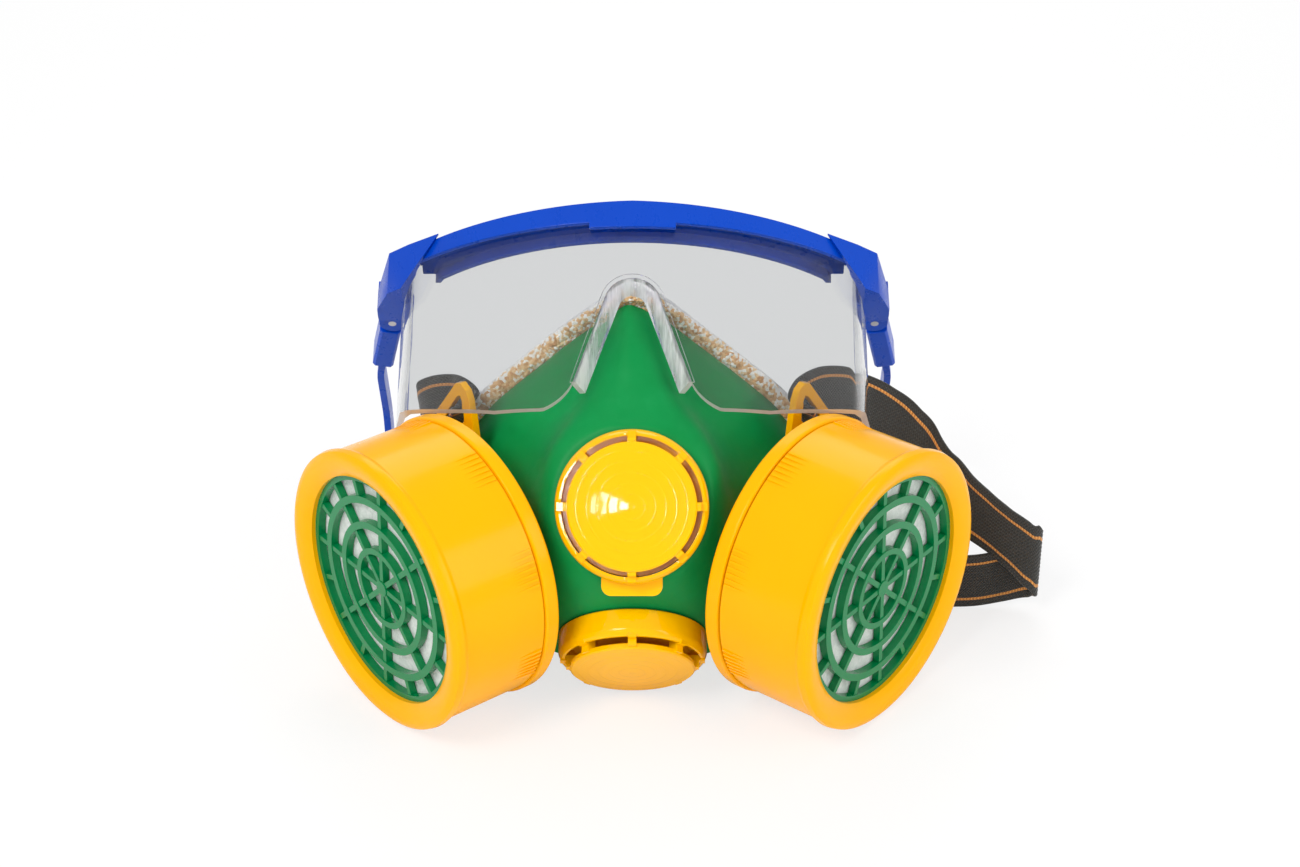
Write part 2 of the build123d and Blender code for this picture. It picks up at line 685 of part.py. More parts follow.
def block_wedge():
    """Slanted front view of the end block, as a prism from front to back."""
    pin = hinge_at[0]
    outline = Polyline(
        (block_start, 0, 6.6), (pin - 0.4, 0, 5.4), (pin + 4, 0, -2.5), (pin + 4, 0, -9.4),
        (pin - 5, 0, -9.4), close=True,
    )
    return Pos(0, -20, 0) * extrude(make_face(outline), 90, dir=(0, 1, 0))


def hinge_block():
    """Angular end block that caps the brow and the lens corner and carries the pin."""
    pin = hinge_at[0]
    plan = Polyline(
        (block_start - 0.5, 16.6), (pin - 7, 22.6), (pin - 0.4, 27.4), (pin + 3.8, 38),
        (pin + knuckle_radius, block_back), (pin - knuckle_radius, block_back), (pin - 8, 34),
        (pin - 13, 26), (block_start - 0.5, 23), close=True,
    )
    body = Pos(0, 0, -12) * extrude(make_face(plan), 22, dir=(0, 0, 1))
    body = body & block_wedge()
    body -= brow_envelope(block_gap)
    high = knuckle_half + knuckle_gap
    half = temple_height / 2
    side = knuckle_radius
    clevis = bar(-side, side, -8.5, -knuckle_radius - 0.4, -half, half)
    for low, top in ((high, half), (-half, -high)):
        clevis += disc(knuckle_radius, low, top) + bar(-side, side, -5, 0, low, top)
    clevis -= disc(pin_size, -20, 20)
    return body + LENS_TO_HINGE * clevis - lens_core(lens_slot, -20, lens_bite + lens_slot)


def temple_pin():
    half = temple_height / 2
    return disc(pin_size, -half, half) + disc(pin_size + 0.7, half, half + 0.6)


def splayed(part):
    """Turn a part that runs straight back so that it follows the sleeve."""
    return Rot(0, 0, -sleeve_splay) * part


def temple_sleeve():
    """Front half of a temple: knuckle and a channel that the arm slides in."""
    half = temple_height / 2
    side = sleeve_thickness / 2
    body = disc(knuckle_radius, -knuckle_half, knuckle_half)
    body += splayed(bar(-1.8, 1.8, 0, 6, -knuckle_half, knuckle_half))
    case = bar(-side, side, knuckle_radius + 1.2, sleeve_length, -half, half)
    case = chamfer(case.edges().filter_by(Axis.Y), 0.9)
    body += splayed(case)
    wide = arm_thickness / 2 + arm_clear
    tall = arm_height / 2 + arm_clear
    body -= splayed(bar(-wide, wide, sleeve_length - arm_overlap - arm_clear,
                        sleeve_length + 1, -tall, tall))
    return body - disc(pin_size + hinge_clear, -20, 20)


def temple_arm():
    """Flat spring arm: straight in the sleeve, bent parallel, with a dropped ear end."""
    a = radians(sleeve_splay)
    lead = 4.0
    bend = 40.0
    start = (sin(a) * (sleeve_length - arm_overlap), cos(a) * (sleeve_length - arm_overlap))
    knee = (sin(a) * (sleeve_length + lead), cos(a) * (sleeve_length + lead))
    centre = (knee[0] - bend * cos(a), knee[1] + bend * sin(a))
    flat = (centre[0] + bend, centre[1])
    middle = (centre[0] + bend * cos(a / 2), centre[1] - bend * sin(a / 2))
    end = (flat[0], sleeve_length + arm_reach)
    track = Wire([Line(start, knee), ThreePointArc(knee, middle, flat), Line(flat, end)])
    strip = extrude(trace(track, arm_thickness), 60, dir=(0, 0, 1))
    half = arm_height / 2
    tip = end[1]
    ear = tip - ear_length
    outline = Wire([
        Line((0, 0, -half), (0, 0, half)),
        Line((0, 0, half), (0, ear, half)),
        Spline((0, ear, half), (0, tip - 12, half - ear_drop * 0.55), (0, tip - 2, half - ear_drop),
               tangents=((0, 1, 0), (0, 0.7, -1))),
        Line((0, tip - 2, half - ear_drop), (0, tip - 6, -half - ear_drop - 1.5)),
        Spline((0, tip - 6, -half - ear_drop - 1.5), (0, tip - 18, -half - ear_drop * 0.6),
               (0, ear - 4, -half), tangents=((0, -0.7, 1), (0, -1, 0))),
        Line((0, ear - 4, -half), (0, 0, -half)),
    ])
    side = Pos(-40, 0, 0) * extrude(make_face(outline), 80, dir=(1, 0, 0))
    return (Pos(0, 0, -30) * strip) & side


def strap_band():
    """Flat webbing along its route, skinned with small flat facets from section to section."""
    places = [Vector(*p) for p, _ in strap_route]
    rings = []
    for i, (middle, ruling) in enumerate(zip(places, (r for _, r in strap_route))):
        before = places[max(i - 1, 0)]
        after = places[min(i + 1, len(places) - 1)]
        along = (after - before).normalized()
        across = Vector(*ruling).normalized()
        skew = sqrt(1 - along.dot(across) ** 2)
        side = across * (strap_width / 2 / skew)
        face = along.cross(across).normalized() * (strap_thickness / 2)
        rings.append([middle + side + face, middle - side + face,
                      middle - side - face, middle + side - face])

    def facet(*corners):
        return Face(Wire(Polyline(*corners, close=True).edges()))

    facets = [facet(*rings[0]), facet(*rings[-1])]
    for near, far in zip(rings, rings[1:]):
        for k in range(4):
            n = (k + 1) % 4
            facets += [facet(near[k], near[n], far[n]), facet(near[k], far[n], far[k])]
    return Solid(Shell(facets))


def build_cartridges():
    pieces = {
        "filter_housing": filter_housing(), "filter_cap": filter_cap(), "grille": grille(),
        "filter_pad": filter_pad(), "carbon_cartridge": carbon_cartridge(),
        "strap_yoke": strap_yoke(), "port_nut": port_nut(),
        "inhalation_seat": inhalation_seat(), "inhalation_flap": inhalation_flap(),
    }
    for name, piece in pieces.items():
        both_sides(name, DRUM.location * piece)


def build_valves():
    for name, plane in (("front", FRONT_VALVE), ("chin", CHIN_VALVE)):
        save(name + "_valve_seat", plane.location * valve_seat())
        save(name + "_diaphragm", plane.location * valve_diaphragm())
        save(name + "_valve_cover", plane.location * valve_cover())


def build_goggles():
    save("goggle_lens", LENS.location * goggle_lens())
    save("brow_bar", LENS.location * brow_bar())
    both_sides("hinge_block", LENS.location * hinge_block())
    both_sides("temple_pin", HINGE.location * temple_pin())
    both_sides("temple_sleeve", HINGE.location * temple_sleeve())
    both_sides("temple_arm", HINGE.location * temple_arm())


build_cartridges()
build_valves()
build_goggles()
save("facepiece", facepiece())
save("face_seal_liner", face_seal_liner())
save("head_strap", strap_band())
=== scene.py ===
import bpy, math
import numpy as np
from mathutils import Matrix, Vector


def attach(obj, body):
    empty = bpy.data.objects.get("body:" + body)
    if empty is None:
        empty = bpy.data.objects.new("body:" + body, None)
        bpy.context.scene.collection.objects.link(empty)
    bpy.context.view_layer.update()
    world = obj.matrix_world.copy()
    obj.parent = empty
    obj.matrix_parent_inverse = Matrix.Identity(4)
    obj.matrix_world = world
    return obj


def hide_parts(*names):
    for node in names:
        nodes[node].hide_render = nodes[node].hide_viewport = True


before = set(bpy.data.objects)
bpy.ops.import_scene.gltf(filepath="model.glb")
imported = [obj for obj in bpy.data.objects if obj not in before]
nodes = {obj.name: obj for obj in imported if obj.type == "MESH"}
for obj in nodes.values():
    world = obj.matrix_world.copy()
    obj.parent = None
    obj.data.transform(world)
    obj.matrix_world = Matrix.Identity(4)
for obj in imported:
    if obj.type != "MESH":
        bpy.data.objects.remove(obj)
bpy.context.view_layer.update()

scene = bpy.context.scene
scene.view_settings.view_transform = "Standard"
MM = 0.001

STRAP_WIDTH = 20.0 * MM
STRAP_THICKNESS = 1.4 * MM
STRAP_RIBS = 17
STRAP_STEP = 0.9 * MM       # between rings of the webbing
STRAP_LINE = 6.8 * MM       # from the middle to each orange line
STRAP_LINE_HALF = 0.45 * MM
LENS_LEAN = 56              # degrees back from upright
WELD = 0.01 * MM            # vertices closer than this are one
SHARP = 32                  # degrees; edges above this stay crisp

# The rubber's edge in side view: depth at each height.
RIM_HEIGHT = np.array((1, 12, 34, 62, 92, 118)) * MM
RIM_DEPTH = np.array((15, 27, 37, 41, 41.5, 34)) * MM
LIP_SWELL = 4.0 * MM
LIP_RISE = 2.2              # millimetres behind the edge over which the lip swells
LIP_HEIGHT = np.array((30, 60)) * MM    # no swell below the first, all of it above the second
ROLL_MIDDLE = 0.060

FLOOR_HALF = 4.0
FLOOR_GLOW = 0.72           # share of the floor's colour that is plain white to the camera
WORLD_LIGHT = 0.60

# ---- camera ----

cam = bpy.data.objects.new("camera", bpy.data.cameras.new("camera"))
cam.data.lens = 69.78
cam.data.sensor_width = 36.0
cam.data.clip_start = 0.05
cam.location = (0.00541, -0.6632, 0.4717)
cam.rotation_euler = (math.radians(60), 0, 0)
scene.collection.objects.link(cam)
scene.camera = cam

# The head strap lies loose, so its route comes before the rest: middle of the webbing and the
# direction across it, in metres, from the right ear round behind the mask to the left ear.
STRAP_ROUTE = [(Vector(p) * MM, Vector(w)) for p, w in (
    ((59.4, 24.0, 78.1), (-0.376, -0.467, 0.8)), ((56.3, 26.5, 78.1), (-0.376, -0.467, 0.8)),
    ((53.0, 29.2, 78.1), (-0.376, -0.467, 0.8)), ((54.4, 37.0, 77.6), (-0.25, -0.1, 0.96)),
    ((62.0, 45.0, 76.0), (0.0, 0.5, 0.87)), ((72.5, 51.0, 71.5), (0.1, 0.75, 0.66)),
    ((82.0, 52.0, 65.0), (0.3, 0.65, 0.7)), ((90.5, 50.0, 56.5), (0.35, 0.4, 0.85)),
    ((98.5, 47.5, 46.5), (0.2, 0.2, 0.96)), ((104.5, 45.0, 41.5), (0.1, 0.1, 0.99)),
    ((110.8, 42.0, 36.4), (0.03, 0.0, 1.0)), ((116.0, 39.6, 33.0), (0.0, 0.0, 1.0)),
    ((121.0, 36.2, 30.0), (0.0, 0.0, 1.0)), ((125.5, 33.4, 27.2), (0.0, 0.0, 1.0)),
    ((129.4, 31.7, 24.3), (0.0, 0.0, 1.0)), ((132.2, 31.7, 22.1), (0.0, 0.0, 1.0)),
    ((133.2, 34.0, 19.9), (0.0, 0.0, 1.0)), ((132.0, 36.6, 17.6), (0.0, 0.0, 1.0)),
    ((128.6, 38.2, 15.0), (0.0, 0.0, 1.0)), ((123.0, 38.3, 12.5), (0.0, 0.0, 1.0)),
    ((114.0, 37.6, 10.8), (0.0, 0.0, 1.0)), ((102.0, 37.8, 10.4), (0.0, 0.0, 1.0)),
    ((90.0, 39.5, 10.4), (0.0, 0.0, 1.0)),
    ((80.0, 42.0, 10.4), (0.0, 0.0, 1.0)), ((56.0, 49.0, 10.4), (0.0, 0.0, 1.0)),
    ((28.0, 54.0, 10.4), (0.0, 0.0, 1.0)), ((0.0, 55.5, 10.4), (0.0, 0.0, 1.0)),
    ((-30.0, 54.5, 10.4), (0.0, 0.0, 1.0)), ((-52.0, 53.5, 12.5), (0.3, 0.0, 0.95)),
    ((-66.0, 52.0, 24.0), (0.8, 0.05, 0.6)), ((-72.0, 50.0, 42.0), (0.9, 0.42, 0.18)),
    ((-71.0, 47.5, 60.0), (0.36, 0.93, 0.1)), ((-64.5, 44.0, 72.0), (-0.46, 0.51, 0.72)),
    ((-55.5, 37.5, 77.0), (-0.06, 0.34, 0.94)), ((-53.0, 29.2, 78.1), (0.48, -0.1, 0.87)),
    ((-56.3, 26.5, 78.1), (0.376, -0.467, 0.8)), ((-59.4, 24.0, 78.1), (0.376, -0.467, 0.8)),
)]


# ---- materials ----

class Nodes:
    """Small builder for a material's node tree."""

    def __init__(self, name):
        self.material = bpy.data.materials.new(name)
        self.material.use_nodes = True
        self.tree = self.material.node_tree
        self.shader = self.tree.nodes["Principled BSDF"]
        self.output = self.tree.nodes["Material Output"]
        self.coords = self.add("ShaderNodeTexCoord")

    def add(self, kind, inputs=None, **props):
        node = self.tree.nodes.new(kind)
        for key, value in props.items():
            setattr(node, key, value)
        for key, value in (inputs or {}).items():
            if isinstance(value, bpy.types.NodeSocket):
                self.tree.links.new(value, node.inputs[key])
            else:
                node.inputs[key].default_value = value
        return node

    def noise(self, scale, detail=3.0, rough=0.5, stretch=None, source=None):
        vector = source or self.coords.outputs["Object"]
        if stretch:
            vector = self.add("ShaderNodeMapping", {"Vector": vector, "Scale": stretch}).outputs[0]
        return self.add("ShaderNodeTexNoise", {
            "Vector": vector, "Scale": scale, "Detail": detail, "Roughness": rough}).outputs["Fac"]

    def ramp(self, value, stops):
        node = self.add("ShaderNodeValToRGB", {"Fac": value})
        ramp = node.color_ramp
        while len(ramp.elements) < len(stops):
            ramp.elements.new(0.5)
        for element, (place, colour) in zip(ramp.elements, stops):
            element.position = place
            element.color = (*colour, 1.0)
        return node.outputs["Color"]

    def span(self, value, low, high, new_low, new_high):
        return self.add("ShaderNodeMapRange", {
            "Value": value, "From Min": low, "From Max": high,
            "To Min": new_low, "To Max": new_high}).outputs["Result"]

    def math(self, operation, a, b=0.5, c=0.0):
        return self.add("ShaderNodeMath", {0: a, 1: b, 2: c}, operation=operation).outputs[0]

    def mix(self, share, a, b, blend="MIX"):
        node = self.add("ShaderNodeMix", data_type="RGBA", blend_type=blend)
        for index, value in ((0, share), (6, a), (7, b)):
            if isinstance(value, bpy.types.NodeSocket):
                self.tree.links.new(value, node.inputs[index])
            else:
                node.inputs[index].default_value = (*value, 1.0) if index else value
        return node.outputs[2]

    def bump(self, height, strength, distance, normal=None):
        inputs = {"Height": height, "Strength": strength, "Distance": distance}
        if normal is not None:
            inputs["Normal"] = normal
        return self.add("ShaderNodeBump", inputs).outputs["Normal"]

    def radius(self, middle, lean):
        """Distance from an axis through a point that leans up from the front by some degrees."""
        axis = (0, -math.cos(math.radians(lean)), math.sin(math.radians(lean)))
        arm = self.add("ShaderNodeVectorMath", {0: self.coords.outputs["Object"], 1: middle},
                       operation="SUBTRACT").outputs[0]
        cross = self.add("ShaderNodeVectorMath", {0: arm, 1: axis}, operation="CROSS_PRODUCT")
        return self.add("ShaderNodeVectorMath", {0: cross.outputs[0]},
                        operation="LENGTH").outputs["Value"]

    def set(self, **values):
        for key, value in values.items():
            socket = self.shader.inputs[key.replace("_", " ")]
            if isinstance(value, bpy.types.NodeSocket):
                self.tree.links.new(value, socket)
            else:
                socket.default_value = value
        return self.material


def moulded(name, colour, dark, rough=(0.15, 0.24), level=0.35, pale=None):
    """Glossy moulded plastic: faint flow mottling, uneven gloss and a fine skin."""
    n = Nodes(name)
    cloud = n.noise(24, 3)
    fine = n.noise(900, 2)
    scuff = n.noise(260, 4, 0.7, stretch=(1, 0.25, 1))
    base = n.mix(n.span(cloud, 0.35, 0.65, 0.0, 0.3), colour, dark)
    if pale:
        base = n.mix(n.span(scuff, 0.66, 0.85, 0.0, 0.10), base, pale)
    skin = n.bump(fine, 0.05, 0.0002)
    skin = n.bump(cloud, 0.12, 0.0006, skin)
    return n.set(Base_Color=base, Roughness=n.span(scuff, 0.3, 0.7, *rough), Normal=skin,
                 Specular_IOR_Level=level, IOR=1.48)


def valve_plastic(name, middle, lean):
    """Polished orange plastic of a valve cover, with faint turned rings about its axis."""
    n = Nodes(name)
    cloud = n.noise(24, 3)
    scuff = n.noise(260, 4, 0.7)
    base = n.mix(n.span(cloud, 0.35, 0.65, 0.0, 0.3), (1.0, 0.53, 0.0), (1.0, 0.48, 0.0))
    wave = n.math("SINE", n.math("MULTIPLY", n.radius(middle, lean), 2 * math.pi / 0.0032))
    ridge = n.span(wave, 0.72, 1.0, 0.0, 1.0)
    skin = n.bump(ridge, 0.5, 0.00008)
    return n.set(Base_Color=base, Roughness=n.span(scuff, 0.3, 0.7, 0.02, 0.05), Normal=skin,
                 Specular_IOR_Level=0.25, IOR=1.48)


def rubber(name, colour, dark):
    """Satin moulded rubber with a powdery bloom and a fine matt skin."""
    n = Nodes(name)
    cloud = n.noise(30, 4, 0.6)
    bloom = n.noise(110, 5, 0.65)
    fine = n.noise(1400, 3)
    base = n.mix(n.span(cloud, 0.3, 0.7, 0.0, 0.7), colour, dark)
    base = n.mix(n.span(bloom, 0.55, 0.85, 0.0, 0.08), base, (0.06, 0.50, 0.20))
    skin = n.bump(fine, 0.12, 0.0002)
    skin = n.bump(bloom, 0.12, 0.0004, skin)
    return n.set(Base_Color=base, Roughness=n.span(bloom, 0.3, 0.7, 0.38, 0.55), Normal=skin,
                 Sheen_Weight=0.02, Sheen_Roughness=0.4, Specular_IOR_Level=0.2, IOR=1.45)


def felt(name, colour):
    """Pressed filter felt: clumped fibres, soft and matt."""
    n = Nodes(name)
    clump = n.noise(420, 6, 0.75)
    fibre = n.noise(1500, 4, 0.8, stretch=(1, 1, 0.3))
    base = n.mix(n.span(clump, 0.3, 0.7, 0.0, 1.0), colour, (0.62, 0.66, 0.62))
    skin = n.bump(fibre, 0.6, 0.0004)
    skin = n.bump(clump, 0.7, 0.0008, skin)
    return n.set(Base_Color=base, Roughness=0.95, Normal=skin, Sheen_Weight=0.4,
                 Sheen_Roughness=0.6)


def knit(name):
    """Tan towelling knit with white flecks, paler along the outer band."""
    n = Nodes(name)
    cell = n.add("ShaderNodeTexVoronoi", {"Vector": n.coords.outputs["Object"], "Scale": 1050.0})
    fleck = n.add("ShaderNodeTexWhiteNoise", {0: cell.outputs["Position"]}).outputs["Value"]
    strand = n.noise(1700, 4, 0.7)
    pale = n.add("ShaderNodeAttribute", attribute_name="pale").outputs["Fac"]
    share = n.math("ADD", fleck, pale)
    base = n.ramp(share, ((0.0, (0.62, 0.32, 0.13)), (0.35, (0.85, 0.52, 0.25)),
                          (0.62, (0.92, 0.66, 0.38)), (0.74, (0.97, 0.94, 0.88)),
                          (1.0, (0.98, 0.97, 0.95))))
    base = n.mix(n.span(strand, 0.3, 0.7, 0.0, 0.12), base, (0.45, 0.26, 0.14), "MULTIPLY")
    height = n.math("SUBTRACT", 1.0, n.math("MULTIPLY", cell.outputs["Distance"], 2.0))
    skin = n.bump(strand, 0.4, 0.0002)
    skin = n.bump(height, 0.5, 0.0005, skin)
    return n.set(Base_Color=base, Roughness=0.92, Normal=skin, Sheen_Weight=0.3,
                 Sheen_Roughness=0.5)


def webbing(name):
    """Charcoal elastic: ribs along it, picks across it and an orange line near each edge."""
    n = Nodes(name)
    along = n.add("ShaderNodeAttribute", attribute_name="along").outputs["Fac"]
    across = n.add("ShaderNodeAttribute", attribute_name="across").outputs["Fac"]
    rib = n.math("SINE", n.math("MULTIPLY", across, 2 * math.pi / 0.00118))
    pick = n.math("SINE", n.math("MULTIPLY", along, 2 * math.pi / 0.0011))
    weave = n.math("MULTIPLY", rib, pick)
    fuzz = n.noise(2200, 4, 0.7)
    edge = n.math("ABSOLUTE", across)
    off = n.math("ABSOLUTE", n.math("SUBTRACT", edge, STRAP_LINE))
    line = n.math("LESS_THAN", off, STRAP_LINE_HALF)
    grey = n.mix(n.span(weave, -1.0, 1.0, 0.0, 1.0), (0.010, 0.010, 0.009),
                 (0.036, 0.035, 0.031))
    grey = n.mix(n.span(fuzz, 0.35, 0.75, 0.0, 0.5), grey, (0.055, 0.052, 0.046))
    thread = n.mix(n.span(pick, -1.0, 1.0, 0.0, 1.0), (0.45, 0.16, 0.03), (0.72, 0.33, 0.08))
    base = n.mix(line, grey, thread)
    skin = n.bump(fuzz, 0.3, 0.0002)
    skin = n.bump(weave, 0.5, 0.0003, skin)
    return n.set(Base_Color=base, Roughness=0.8, Normal=skin, Sheen_Weight=0.3,
                 Sheen_Roughness=0.4)


def clear_lens(name):
    """Clear polycarbonate that lets shadow rays through, with faint handling marks."""
    n = Nodes(name)
    smear = n.noise(60, 5, 0.6)
    fine = n.noise(25, 2)
    n.set(Base_Color=(0.655, 0.665, 0.67, 1.0), Roughness=n.span(smear, 0.45, 0.8, 0.015, 0.09),
          Transmission_Weight=1.0, IOR=1.45, Specular_IOR_Level=0.5,
          Normal=n.bump(fine, 0.03, 0.0005))
    clear = n.add("ShaderNodeBsdfTransparent", {"Color": (0.86, 0.87, 0.88, 1.0)})
    path = n.add("ShaderNodeLightPath")
    mix = n.add("ShaderNodeMixShader", {0: path.outputs["Is Shadow Ray"],
                                        1: n.shader.outputs[0], 2: clear.outputs[0]})
    n.tree.links.new(mix.outputs[0], n.output.inputs["Surface"])
    return n.material


def brushed(name, colour):
    """Bare metal with fine drawn lines."""
    n = Nodes(name)
    line = n.noise(300, 4, 0.7, stretch=(1, 1, 12))
    return n.set(Base_Color=n.mix(line, colour, tuple(c * 0.7 for c in colour)), Metallic=1.0,
                 Roughness=n.span(line, 0.3, 0.7, 0.22, 0.42), Normal=n.bump(line, 0.1, 0.0001))


def lens_rim(name):
    """Sloping wall of the clear nose rim: painted highlights as bright milky streaks along the
    rim, over clear plastic.
    """
    n = Nodes(name)
    streak = n.noise(240, 4, 0.7, stretch=(1, 0.12, 0.12))
    patch = n.noise(70, 3, 0.6)
    n.set(Base_Color=(0.88, 0.86, 0.90, 1.0), Roughness=0.06, Transmission_Weight=1.0, IOR=1.45)
    # Painted highlight: a milky white shader, pale purple in patches, stands in for the light
    # caught in the rim's wall.
    painted_glint = n.add("ShaderNodeBsdfPrincipled", {
        "Base Color": n.mix(patch, (0.80, 0.76, 0.86), (0.97, 0.97, 0.98)), "Roughness": 0.25})
    share = n.math("MULTIPLY", n.span(streak, 0.38, 0.62, 0.25, 1.0), 0.85)
    mix = n.add("ShaderNodeMixShader", {0: share, 1: n.shader.outputs[0], 2: painted_glint.outputs[0]})
    n.tree.links.new(mix.outputs[0], n.output.inputs["Surface"])
    return n.material


def lens_edge(name):
    """Polished cut edge of the lens, which gathers light; that light is painted in as a milky
    white colour.
    """
    n = Nodes(name)
    line = n.noise(400, 3, 0.6)
    # Painted light: the pale, purplish white base colour stands in for light gathered in the edge.
    base = n.mix(line, (0.84, 0.80, 0.88), (0.95, 0.95, 0.97))
    n.set(Base_Color=base, Roughness=0.18, Transmission_Weight=0.35, IOR=1.45,
          Normal=n.bump(line, 0.1, 0.0002))
    return n.material


ORANGE = moulded("orange_plastic", (1.0, 0.47, 0.0), (0.98, 0.42, 0.0), level=0.12,
                 pale=(1.0, 0.60, 0.06))
FRONT_COVER = valve_plastic("front_cover_plastic", (0.0, -0.0173, 0.0737), 30)
CHIN_COVER = valve_plastic("chin_cover_plastic", (0.0, -0.0135, 0.0244), -35)
GREEN_RUBBER = rubber("mask_rubber", (0.0, 0.285, 0.065), (0.0, 0.21, 0.042))
GREEN = moulded("green_plastic", (0.0, 0.22, 0.065), (0.0, 0.17, 0.045), level=0.3)
BLUE = moulded("blue_plastic", (0.0, 0.062, 0.52), (0.0, 0.042, 0.42), rough=(0.24, 0.36),
               level=0.25)
AMBER = moulded("seat_plastic", (1.0, 0.52, 0.02), (1.0, 0.45, 0.01))
BLACK = moulded("dark_plastic", (0.03, 0.03, 0.03), (0.02, 0.02, 0.02), rough=(0.4, 0.6))
VALVE = moulded("valve_membrane", (1.0, 0.52, 0.02), (1.0, 0.44, 0.01), rough=(0.4, 0.55))
CAN = brushed("canister_shell", (0.75, 0.75, 0.73))
STEEL = brushed("pin_steel", (0.68, 0.68, 0.70))
FELT = felt("filter_felt", (0.96, 0.97, 0.94))
KNIT = knit("knit_liner")
WEB = webbing("strap_webbing")
LENS = clear_lens("clear_lens")
EDGE = lens_edge("lens_edge")
RIM = lens_rim("nose_rim")

FINISH = {
    "filter_housing": ORANGE, "filter_cap": ORANGE, "strap_yoke": ORANGE,
    "front_valve_cover": FRONT_COVER, "chin_valve_cover": CHIN_COVER, "grille": GREEN,
    "filter_pad": FELT, "carbon_cartridge": CAN, "port_nut": BLACK, "inhalation_seat": AMBER,
    "front_valve_seat": AMBER, "chin_valve_seat": AMBER, "inhalation_flap": VALVE,
    "front_diaphragm": VALVE, "chin_diaphragm": VALVE, "goggle_lens": LENS, "brow_bar": BLUE,
    "hinge_block": BLUE, "temple_sleeve": BLUE, "temple_arm": BLUE, "temple_pin": STEEL,
    "facepiece": GREEN_RUBBER, "face_seal_liner": KNIT, "head_strap": WEB,
}
ROUNDED = {"filter_housing": 0.35, "strap_yoke": 0.4, "grille": 0.5, "brow_bar": 0.4,
           "hinge_block": 0.5, "temple_sleeve": 0.3, "temple_arm": 0.3, "front_valve_cover": 0.2,
           "chin_valve_cover": 0.2}


def plain(name):
    """The node's name without its side."""
    for side in ("_right", "_left"):
        name = name.removesuffix(side)
    return name


for name, node in nodes.items():
    node.data.materials.clear()
    node.data.materials.append(FINISH[plain(name)])
    node.data.polygons.foreach_set("use_smooth", [True] * len(node.data.polygons))
    weld = node.modifiers.new("weld", "WELD")
    weld.merge_threshold = WELD
    if plain(name) in ROUNDED:
        bevel = node.modifiers.new("bevel", "BEVEL")
        bevel.width = ROUNDED[plain(name)] * MM
        bevel.segments = 2
        bevel.limit_method = "ANGLE"
        bevel.angle_limit = math.radians(38)
        bevel.harden_normals = False
    split = node.modifiers.new("split", "EDGE_SPLIT")
    split.split_angle = math.radians(SHARP)
    even = node.modifiers.new("even", "WEIGHTED_NORMAL")
    even.weight = 90


# The lens's front and back walls run straight up it. What leans across them is a cut edge, and
# what also turns to the front is the nose rim's funnel.
lens = nodes["goggle_lens"].data
lens.materials.append(EDGE)
lens.materials.append(RIM)
lean = math.radians(LENS_LEAN)
lens_up = Vector((0, math.sin(lean), math.cos(lean)))
lens_in = Vector((0, math.cos(lean), -math.sin(lean)))
for face in lens.polygons:
    leans_across = abs(face.normal.dot(lens_up)) > 0.1
    faces_front = abs(face.normal.dot(lens_in)) > 0.15
    if leans_across:
        face.material_index = lens.materials.find("nose_rim" if faces_front else "lens_edge")


# ---- helpers for new pieces ----

def piece(name, verts, faces, material, smooth=True):
    mesh = bpy.data.meshes.new(name)
    mesh.from_pydata([tuple(v) for v in verts], [], [tuple(int(i) for i in f) for f in faces])
    mesh.validate()
    mesh.materials.append(material)
    mesh.polygons.foreach_set("use_smooth", [smooth] * len(mesh.polygons))
    obj = bpy.data.objects.new(name, mesh)
    scene.collection.objects.link(obj)
    return obj


def applied(obj):
    """The object's mesh with its modifiers applied."""
    bpy.context.view_layer.update()
    graph = bpy.context.evaluated_depsgraph_get()
    mesh = bpy.data.meshes.new_from_object(obj.evaluated_get(graph))
    obj.modifiers.clear()
    obj.data = mesh
    return obj


def remeshed(name, source, voxel, smooth, material):
    """A fine, softened copy of a CAD solid as its own piece."""
    mesh = nodes[source].data.copy()
    mesh.name = name
    obj = bpy.data.objects.new(name, mesh)
    scene.collection.objects.link(obj)
    weld = obj.modifiers.new("weld", "WELD")
    weld.merge_threshold = WELD
    remesh = obj.modifiers.new("remesh", "REMESH")
    remesh.mode = "VOXEL"
    remesh.voxel_size = voxel * MM
    remesh.use_smooth_shade = True
    relax = obj.modifiers.new("smooth", "SMOOTH")
    relax.factor = 0.5
    relax.iterations = smooth
    applied(obj)
    obj.data.materials.clear()
    obj.data.materials.append(material)
    obj.data.polygons.foreach_set("use_smooth", [True] * len(obj.data.polygons))
    return obj


def arrays(obj):
    co = np.empty(len(obj.data.vertices) * 3)
    obj.data.vertices.foreach_get("co", co)
    no = np.empty(len(obj.data.vertices) * 3)
    obj.data.vertices.foreach_get("normal", no)
    return co.reshape(-1, 3), no.reshape(-1, 3)


def attribute(obj, name, values):
    layer = obj.data.attributes.new(name, "FLOAT", "POINT")
    layer.data.foreach_set("value", np.asarray(values, np.float32))


def roughened(obj, kind, size, depth):
    """Pushes the surface in and out by a procedural texture, sizes in millimetres."""
    texture = bpy.data.textures.new(obj.name, kind)
    texture.noise_scale = size * MM
    push = obj.modifiers.new("push", "DISPLACE")
    push.texture = texture
    push.texture_coords = "GLOBAL"
    push.strength = depth * MM
    push.mid_level = 0.5
    material = obj.data.materials[0]
    applied(obj)
    obj.data.materials.clear()
    obj.data.materials.append(material)
    return obj


# ---- facepiece ----

mask = remeshed("mask_body", "facepiece", 0.8, 4, GREEN_RUBBER)
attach(mask, "mask")
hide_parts("facepiece")

# ---- knitted seal roll ----

roll = remeshed("seal_roll", "face_seal_liner", 0.55, 6, KNIT)
roughened(roll, "VORONOI", 1.1, 0.7)
co, no = arrays(roll)
behind = (co[:, 1] - np.interp(co[:, 2], RIM_HEIGHT, RIM_DEPTH)) / MM
